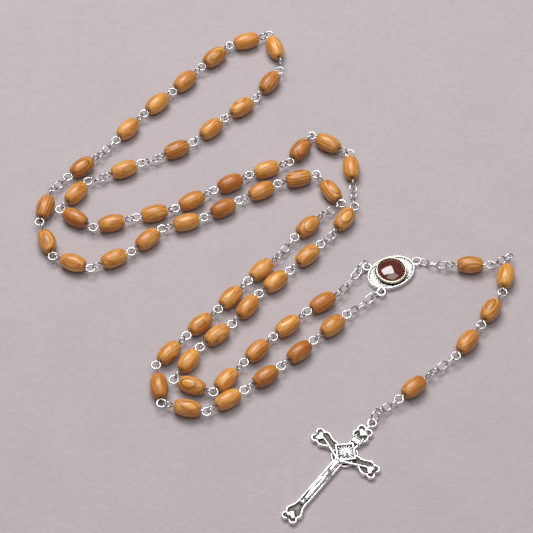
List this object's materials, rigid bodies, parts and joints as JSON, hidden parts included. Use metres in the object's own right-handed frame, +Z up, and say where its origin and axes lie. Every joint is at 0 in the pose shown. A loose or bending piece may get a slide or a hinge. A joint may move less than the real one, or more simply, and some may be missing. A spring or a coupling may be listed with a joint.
{
  "type": "rosary",
  "caption": "Five-decade rosary with olive-wood barrel beads on linked wire eye pins, an oval centre medal and a cast crucifix, laid flat with its loop folded.",
  "frame": {"origin": "middle of the centre medal's flat back, on the table the rosary lies on", "axes": "+Z up from the table; +X and +Y lie on it as laid out, with the folded loop towards -X and the crucifix towards -Y"},
  "size_m": [0.1606, 0.1964, 0.006],
  "materials": {
    "olive_wood": "satin, dark grain streaks",
    "steel_wire": "bright drawn wire",
    "cast_silver": "bright die-cast, darkened in the recesses",
    "gilt_rim": "pale gilt, polished",
    "red_enamel": "glossy dark brown-red dome"
  },
  "bodies": {
    "centre_medal": {"medal_frame": "cast_silver", "medal_bezel_cup": "gilt_rim", "medal_stone": "red_enamel"},
    "jump_ring_first": {"jump_ring_first": "steel_wire"},
    "chain_medal_to_decade_1": {"chain_medal_to_decade_1": "steel_wire"},
    "decade_1_beads_1_2": {"decade_1_beads_1_2": "olive_wood"},
    "decade_1_beads_3_4": {"decade_1_beads_3_4": "olive_wood"},
    "decade_1_beads_5_6": {"decade_1_beads_5_6": "olive_wood"},
    "decade_1_beads_7_8": {"decade_1_beads_7_8": "olive_wood"},
    "decade_1_beads_9_10": {"decade_1_beads_9_10": "olive_wood"},
    "chain_decade_1_to_our_father_1": {"chain_decade_1_to_our_father_1": "steel_wire"},
    "our_father_1_bead": {"our_father_1_bead": "olive_wood"},
    "chain_our_father_1_to_decade_2": {"chain_our_father_1_to_decade_2": "steel_wire"},
    "decade_2_beads_1_2": {"decade_2_beads_1_2": "olive_wood"},
    "decade_2_beads_3_4": {"decade_2_beads_3_4": "olive_wood"},
    "decade_2_beads_5_6": {"decade_2_beads_5_6": "olive_wood"},
    "decade_2_beads_7_8": {"decade_2_beads_7_8": "olive_wood"},
    "decade_2_beads_9_10": {"decade_2_beads_9_10": "olive_wood"},
    "chain_decade_2_to_our_father_2": {"chain_decade_2_to_our_father_2": "steel_wire"},
    "our_father_2_bead": {"our_father_2_bead": "olive_wood"},
    "chain_our_father_2_to_decade_3": {"chain_our_father_2_to_decade_3": "steel_wire"},
    "decade_3_beads_1_2": {"decade_3_beads_1_2": "olive_wood"},
    "decade_3_beads_3_4": {"decade_3_beads_3_4": "olive_wood"},
    "jump_ring_last": {"jump_ring_last": "steel_wire"},
    "chain_decade_5_to_medal": {"chain_decade_5_to_medal": "steel_wire"},
    "decade_5_beads_9_10": {"decade_5_beads_9_10": "olive_wood"},
    "decade_5_beads_7_8": {"decade_5_beads_7_8": "olive_wood"},
    "decade_5_beads_5_6": {"decade_5_beads_5_6": "olive_wood"},
    "decade_5_beads_3_4": {"decade_5_beads_3_4": "olive_wood"},
    "decade_5_beads_1_2": {"decade_5_beads_1_2": "olive_wood"},
    "chain_our_father_4_to_decade_5": {"chain_our_father_4_to_decade_5": "steel_wire"},
    "our_father_4_bead": {"our_father_4_bead": "olive_wood"},
    "chain_decade_4_to_our_father_4": {"chain_decade_4_to_our_father_4": "steel_wire"},
    "decade_4_beads_9_10": {"decade_4_beads_9_10": "olive_wood"},
    "decade_4_beads_7_8": {"decade_4_beads_7_8": "olive_wood"},
    "decade_4_beads_5_6": {"decade_4_beads_5_6": "olive_wood"},
    "decade_4_beads_3_4": {"decade_4_beads_3_4": "olive_wood"},
    "decade_4_beads_1_2": {"decade_4_beads_1_2": "olive_wood"},
    "chain_our_father_3_to_decade_4": {"chain_our_father_3_to_decade_4": "steel_wire"},
    "our_father_3_bead": {"our_father_3_bead": "olive_wood"},
    "chain_decade_3_to_our_father_3": {"chain_decade_3_to_our_father_3": "steel_wire"},
    "decade_3_beads_9_10": {"decade_3_beads_9_10": "olive_wood"},
    "decade_3_beads_7_8": {"decade_3_beads_7_8": "olive_wood"},
    "decade_3_beads_5_6": {"decade_3_beads_5_6": "olive_wood"},
    "pendant_chain_1": {"pendant_chain_1": "steel_wire"},
    "pendant_pin_1": {"pendant_pin_1": "steel_wire"},
    "pendant_bead_1": {"pendant_bead_1": "olive_wood"},
    "pendant_chain_2": {"pendant_chain_2": "steel_wire"},
    "pendant_pin_2": {"pendant_pin_2": "steel_wire"},
    "pendant_bead_2": {"pendant_bead_2": "olive_wood"},
    "pendant_pin_3": {"pendant_pin_3": "steel_wire"},
    "pendant_bead_3": {"pendant_bead_3": "olive_wood"},
    "pendant_pin_4": {"pendant_pin_4": "steel_wire"},
    "pendant_bead_4": {"pendant_bead_4": "olive_wood"},
    "pendant_chain_3": {"pendant_chain_3": "steel_wire"},
    "pendant_pin_5": {"pendant_pin_5": "steel_wire"},
    "pendant_bead_5": {"pendant_bead_5": "olive_wood"},
    "pendant_chain_4": {"pendant_chain_4": "steel_wire"},
    "jump_ring_crucifix": {"jump_ring_crucifix": "steel_wire"},
    "crucifix": {"crucifix": "cast_silver"}
  },
  "joints": [
    {"name": "jump_ring_first_lift", "type": "hinge", "parent": "centre_medal", "child": "jump_ring_first", "pos_m": [-0.00797, 0.00229, 0.0014], "axis": [-0.682, 0.7314, 0], "range_deg": [-12, 12]},
    {"name": "chain_medal_to_decade_1_lift", "type": "hinge", "parent": "jump_ring_first", "child": "chain_medal_to_decade_1", "pos_m": [-0.01101, -0.00054, 0.003], "axis": [0.823, -0.5681, 0], "range_deg": [-25, 25]},
    {"name": "decade_1_beads_1_2_lift", "type": "hinge", "parent": "chain_medal_to_decade_1", "child": "decade_1_beads_1_2", "pos_m": [-0.01712, -0.00893, 0.003], "axis": [-0.5692, 0.8222, 0], "range_deg": [-35, 35]},
    {"name": "decade_1_beads_3_4_lift", "type": "hinge", "parent": "decade_1_beads_1_2", "child": "decade_1_beads_3_4", "pos_m": [-0.03958, -0.02674, 0.003], "axis": [0.7179, -0.6962, 0], "range_deg": [-35, 35]},
    {"name": "decade_1_beads_5_6_lift", "type": "hinge", "parent": "decade_1_beads_3_4", "child": "decade_1_beads_5_6", "pos_m": [-0.05895, -0.0472, 0.003], "axis": [0.3414, 0.9399, 0], "range_deg": [-35, 35]},
    {"name": "decade_1_beads_7_8_lift", "type": "hinge", "parent": "decade_1_beads_5_6", "child": "decade_1_beads_7_8", "pos_m": [-0.06267, -0.03001, 0.003], "axis": [-0.647, 0.7625, 0], "range_deg": [-35, 35]},
    {"name": "decade_1_beads_9_10_lift", "type": "hinge", "parent": "decade_1_beads_7_8", "child": "decade_1_beads_9_10", "pos_m": [-0.04345, -0.00922, 0.003], "axis": [0.6699, -0.7424, 0], "range_deg": [-35, 35]},
    {"name": "chain_decade_1_to_our_father_1_lift", "type": "hinge", "parent": "decade_1_beads_9_10", "child": "chain_decade_1_to_our_father_1", "pos_m": [-0.02282, 0.01075, 0.003], "axis": [-0.6999, 0.7142, 0], "range_deg": [-25, 25]},
    {"name": "our_father_1_bead_lift", "type": "hinge", "parent": "chain_decade_1_to_our_father_1", "child": "our_father_1_bead", "pos_m": [-0.01908, 0.01462, 0.003], "axis": [0.8321, -0.5547, 0], "range_deg": [-35, 35]},
    {"name": "chain_our_father_1_to_decade_2_lift", "type": "hinge", "parent": "our_father_1_bead", "child": "chain_our_father_1_to_decade_2", "pos_m": [-0.01171, 0.02648, 0.003], "axis": [-0.9992, -0.0388, 0], "range_deg": [-25, 25]},
    {"name": "decade_2_beads_1_2_lift", "type": "hinge", "parent": "chain_our_father_1_to_decade_2", "child": "decade_2_beads_1_2", "pos_m": [-0.01205, 0.03475, 0.003], "axis": [0.9978, 0.0665, 0], "range_deg": [-35, 35]},
    {"name": "decade_2_beads_3_4_lift", "type": "hinge", "parent": "decade_2_beads_1_2", "child": "decade_2_beads_3_4", "pos_m": [-0.02603, 0.05518, 0.003], "axis": [0.8249, -0.5652, 0], "range_deg": [-35, 35]},
    {"name": "decade_2_beads_5_6_lift", "type": "hinge", "parent": "decade_2_beads_3_4", "child": "decade_2_beads_5_6", "pos_m": [-0.04772, 0.03865, 0.003], "axis": [-0.4761, 0.8794, 0], "range_deg": [-35, 35]},
    {"name": "decade_2_beads_7_8_lift", "type": "hinge", "parent": "decade_2_beads_5_6", "child": "decade_2_beads_7_8", "pos_m": [-0.07261, 0.0248, 0.003], "axis": [0.2728, -0.9621, 0], "range_deg": [-35, 35]},
    {"name": "decade_2_beads_9_10_lift", "type": "hinge", "parent": "decade_2_beads_7_8", "child": "decade_2_beads_9_10", "pos_m": [-0.09996, 0.01742, 0.003], "axis": [0.5373, 0.8434, 0], "range_deg": [-35, 35]},
    {"name": "chain_decade_2_to_our_father_2_lift", "type": "hinge", "parent": "decade_2_beads_9_10", "child": "chain_decade_2_to_our_father_2", "pos_m": [-0.10131, 0.03652, 0.003], "axis": [-0.3237, 0.9462, 0], "range_deg": [-25, 25]},
    {"name": "our_father_2_bead_lift", "type": "hinge", "parent": "chain_decade_2_to_our_father_2", "child": "our_father_2_bead", "pos_m": [-0.09632, 0.03831, 0.003], "axis": [0.4191, -0.908, 0], "range_deg": [-35, 35]},
    {"name": "chain_our_father_2_to_decade_3_lift", "type": "hinge", "parent": "our_father_2_bead", "child": "chain_our_father_2_to_decade_3", "pos_m": [-0.0835, 0.04419, 0.003], "axis": [-0.3733, 0.9277, 0], "range_deg": [-25, 25]},
    {"name": "decade_3_beads_1_2_lift", "type": "hinge", "parent": "chain_our_father_2_to_decade_3", "child": "decade_3_beads_1_2", "pos_m": [-0.07834, 0.04636, 0.003], "axis": [0.4741, -0.8805, 0], "range_deg": [-35, 35]},
    {"name": "decade_3_beads_3_4_lift", "type": "hinge", "parent": "decade_3_beads_1_2", "child": "decade_3_beads_3_4", "pos_m": [-0.05541, 0.06349, 0.003], "axis": [-0.6329, 0.7742, 0], "range_deg": [-35, 35]},
    {"name": "jump_ring_last_lift", "type": "hinge", "parent": "centre_medal", "child": "jump_ring_last", "pos_m": [-0.00347, -0.0078, 0.0014], "axis": [0.6691, -0.7431, 0], "range_deg": [-12, 12]},
    {"name": "chain_decade_5_to_medal_lift", "type": "hinge", "parent": "jump_ring_last", "child": "chain_decade_5_to_medal", "pos_m": [-0.00656, -0.01058, 0.003], "axis": [-0.6431, 0.7658, 0], "range_deg": [-25, 25]},
    {"name": "decade_5_beads_9_10_lift", "type": "hinge", "parent": "chain_decade_5_to_medal", "child": "decade_5_beads_9_10", "pos_m": [-0.01456, -0.0173, 0.003], "axis": [0.6774, -0.7356, 0], "range_deg": [-35, 35]},
    {"name": "decade_5_beads_7_8_lift", "type": "hinge", "parent": "decade_5_beads_9_10", "child": "decade_5_beads_7_8", "pos_m": [-0.03604, -0.03697, 0.003], "axis": [-0.5546, 0.8321, 0], "range_deg": [-35, 35]},
    {"name": "decade_5_beads_5_6_lift", "type": "hinge", "parent": "decade_5_beads_7_8", "child": "decade_5_beads_5_6", "pos_m": [-0.05974, -0.05416, 0.003], "axis": [-0.9896, -0.1436, 0], "range_deg": [-35, 35]},
    {"name": "decade_5_beads_3_4_lift", "type": "hinge", "parent": "decade_5_beads_5_6", "child": "decade_5_beads_3_4", "pos_m": [-0.07695, -0.0381, 0.003], "axis": [0.7103, -0.7039, 0], "range_deg": [-35, 35]},
    {"name": "decade_5_beads_1_2_lift", "type": "hinge", "parent": "decade_5_beads_3_4", "child": "decade_5_beads_1_2", "pos_m": [-0.0579, -0.0163, 0.003], "axis": [-0.7071, 0.7071, 0], "range_deg": [-35, 35]},
    {"name": "chain_our_father_4_to_decade_5_lift", "type": "hinge", "parent": "decade_5_beads_1_2", "child": "chain_our_father_4_to_decade_5", "pos_m": [-0.03803, 0.00497, 0.003], "axis": [0.806, -0.5919, 0], "range_deg": [-25, 25]},
    {"name": "our_father_4_bead_lift", "type": "hinge", "parent": "chain_our_father_4_to_decade_5", "child": "our_father_4_bead", "pos_m": [-0.03241, 0.01243, 0.003], "axis": [-0.7071, 0.7071, 0], "range_deg": [-35, 35]},
    {"name": "chain_decade_4_to_our_father_4_lift", "type": "hinge", "parent": "our_father_4_bead", "child": "chain_decade_4_to_our_father_4", "pos_m": [-0.02253, 0.02247, 0.003], "axis": [0.5509, -0.8346, 0], "range_deg": [-25, 25]},
    {"name": "decade_4_beads_9_10_lift", "type": "hinge", "parent": "chain_decade_4_to_our_father_4", "child": "decade_4_beads_9_10", "pos_m": [-0.01669, 0.0265, 0.003], "axis": [0.2869, -0.958, 0], "range_deg": [-35, 35]},
    {"name": "decade_4_beads_7_8_lift", "type": "hinge", "parent": "decade_4_beads_9_10", "child": "decade_4_beads_7_8", "pos_m": [-0.03705, 0.03539, 0.003], "axis": [-0.5132, 0.8583, 0], "range_deg": [-35, 35]},
    {"name": "decade_4_beads_5_6_lift", "type": "hinge", "parent": "decade_4_beads_7_8", "child": "decade_4_beads_5_6", "pos_m": [-0.0619, 0.02148, 0.003], "axis": [0.6813, -0.732, 0], "range_deg": [-35, 35]},
    {"name": "decade_4_beads_3_4_lift", "type": "hinge", "parent": "decade_4_beads_5_6", "child": "decade_4_beads_3_4", "pos_m": [-0.08606, 0.00763, 0.003], "axis": [0.3503, 0.9366, 0], "range_deg": [-35, 35]},
    {"name": "decade_4_beads_1_2_lift", "type": "hinge", "parent": "decade_4_beads_3_4", "child": "decade_4_beads_1_2", "pos_m": [-0.11203, 0.00525, 0.003], "axis": [-0.9662, 0.2577, 0], "range_deg": [-35, 35]},
    {"name": "chain_our_father_3_to_decade_4_lift", "type": "hinge", "parent": "decade_4_beads_1_2", "child": "chain_our_father_3_to_decade_4", "pos_m": [-0.11419, 0.03228, 0.003], "axis": [0.7035, -0.7107, 0], "range_deg": [-25, 25]},
    {"name": "our_father_3_bead_lift", "type": "hinge", "parent": "chain_our_father_3_to_decade_4", "child": "our_father_3_bead", "pos_m": [-0.10947, 0.03749, 0.003], "axis": [-0.6727, 0.7399, 0], "range_deg": [-35, 35]},
    {"name": "chain_decade_3_to_our_father_3_lift", "type": "hinge", "parent": "our_father_3_bead", "child": "chain_decade_3_to_our_father_3", "pos_m": [-0.09906, 0.047, 0.003], "axis": [0.7504, -0.6609, 0], "range_deg": [-25, 25]},
    {"name": "decade_3_beads_9_10_lift", "type": "hinge", "parent": "chain_decade_3_to_our_father_3", "child": "decade_3_beads_9_10", "pos_m": [-0.09359, 0.05308, 0.003], "axis": [-0.7022, 0.712, 0], "range_deg": [-35, 35]},
    {"name": "decade_3_beads_7_8_lift", "type": "hinge", "parent": "decade_3_beads_9_10", "child": "decade_3_beads_7_8", "pos_m": [-0.07445, 0.07443, 0.003], "axis": [0.7056, -0.7086, 0], "range_deg": [-35, 35]},
    {"name": "decade_3_beads_5_6_lift", "type": "hinge", "parent": "decade_3_beads_7_8", "child": "decade_3_beads_5_6", "pos_m": [-0.05485, 0.09511, 0.003], "axis": [0.9487, 0.3162, 0], "range_deg": [-35, 35]},
    {"name": "pendant_chain_1_swing", "type": "hinge", "parent": "centre_medal", "child": "pendant_chain_1", "pos_m": [0.00933, 0.00438, 0.00165], "axis": [0, 0, 1], "range_deg": [-10, 30]},
    {"name": "pendant_pin_1_lift", "type": "hinge", "parent": "pendant_chain_1", "child": "pendant_pin_1", "pos_m": [0.01875, 0.002, 0.003], "axis": [0, 1, 0], "range_deg": [-35, 35]},
    {"name": "pendant_bead_1_spin", "type": "hinge", "parent": "pendant_pin_1", "child": "pendant_bead_1", "pos_m": [0.0262, 0.002, 0.003], "axis": [1, 0, 0], "continuous": true},
    {"name": "pendant_chain_2_swing", "type": "hinge", "parent": "pendant_pin_1", "child": "pendant_chain_2", "pos_m": [0.03356, 0.00235, 0.003], "axis": [0, 0, 1], "range_deg": [-12, 30]},
    {"name": "pendant_pin_2_lift", "type": "hinge", "parent": "pendant_chain_2", "child": "pendant_pin_2", "pos_m": [0.03934, 0.00477, 0.003], "axis": [-0.9782, 0.2075, 0], "range_deg": [-35, 35]},
    {"name": "pendant_bead_2_spin", "type": "hinge", "parent": "pendant_pin_2", "child": "pendant_bead_2", "pos_m": [0.0378, -0.00252, 0.003], "axis": [-0.2075, -0.9782, 0], "continuous": true},
    {"name": "pendant_pin_3_lift", "type": "hinge", "parent": "pendant_pin_2", "child": "pendant_pin_3", "pos_m": [0.03605, -0.00967, 0.003], "axis": [0.856, -0.5169, 0], "range_deg": [-35, 35]},
    {"name": "pendant_bead_3_spin", "type": "hinge", "parent": "pendant_pin_3", "child": "pendant_bead_3", "pos_m": [0.03222, -0.01601, 0.003], "axis": [-0.5169, -0.856, 0], "continuous": true},
    {"name": "pendant_pin_4_lift", "type": "hinge", "parent": "pendant_pin_3", "child": "pendant_pin_4", "pos_m": [0.02834, -0.02231, 0.003], "axis": [-0.8053, 0.5928, 0], "range_deg": [-35, 35]},
    {"name": "pendant_bead_4_spin", "type": "hinge", "parent": "pendant_pin_4", "child": "pendant_bead_4", "pos_m": [0.02396, -0.02827, 0.003], "axis": [-0.5928, -0.8053, 0], "continuous": true},
    {"name": "pendant_chain_3_swing", "type": "hinge", "parent": "pendant_pin_4", "child": "pendant_chain_3", "pos_m": [0.0194, -0.03413, 0.003], "axis": [0, 0, 1], "range_deg": [-18, 30]},
    {"name": "pendant_pin_5_lift", "type": "hinge", "parent": "pendant_chain_3", "child": "pendant_pin_5", "pos_m": [0.01145, -0.0405, 0.003], "axis": [0.6727, -0.7399, 0], "range_deg": [-35, 35]},
    {"name": "pendant_bead_5_spin", "type": "hinge", "parent": "pendant_pin_5", "child": "pendant_bead_5", "pos_m": [0.00593, -0.04552, 0.003], "axis": [-0.7399, -0.6727, 0], "continuous": true},
    {"name": "pendant_chain_4_swing", "type": "hinge", "parent": "pendant_pin_5", "child": "pendant_chain_4", "pos_m": [0.00036, -0.05045, 0.003], "axis": [0, 0, 1], "range_deg": [-30, 30]},
    {"name": "jump_ring_crucifix_lift", "type": "hinge", "parent": "pendant_chain_4", "child": "jump_ring_crucifix", "pos_m": [-0.0055, -0.0545, 0.003], "axis": [-0.8396, 0.5433, 0], "range_deg": [-12, 12]},
    {"name": "crucifix_swing", "type": "hinge", "parent": "jump_ring_crucifix", "child": "crucifix", "pos_m": [-0.0077, -0.0579, 0.0014], "axis": [0, 0, 1], "range_deg": [-30, 30]}
  ]
}
